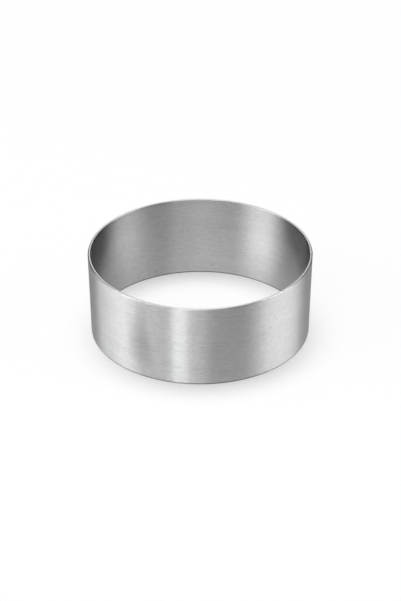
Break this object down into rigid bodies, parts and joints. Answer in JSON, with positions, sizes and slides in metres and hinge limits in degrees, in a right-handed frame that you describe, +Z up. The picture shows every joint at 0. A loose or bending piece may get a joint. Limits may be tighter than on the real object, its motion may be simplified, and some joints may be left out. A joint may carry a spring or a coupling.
{
  "type": "burger bun ring mould",
  "caption": "Open round baking ring rolled from a brushed steel strip and closed by a butt weld; it holds bun dough, patties or eggs in shape on a flat tray.",
  "frame": {"origin": "centre of the ring, on the surface that it stands on", "axes": "+Z up along the ring's axis, towards its wider rim; +X through the weld; the picture looks along +Y from above"},
  "size_m": [0.1041, 0.104, 0.04],
  "materials": {
    "brushed_band": "stainless strip with fine hairline brushing round the hoop, inside and outside, and bright broken edges",
    "dressed_weld": "low weld bead, dressed and brushed along the seam, a shade duller than the band"
  },
  "bodies": {
    "root": {"rolled_band": "brushed_band", "seam_weld": "dressed_weld"}
  },
  "joints": []
}
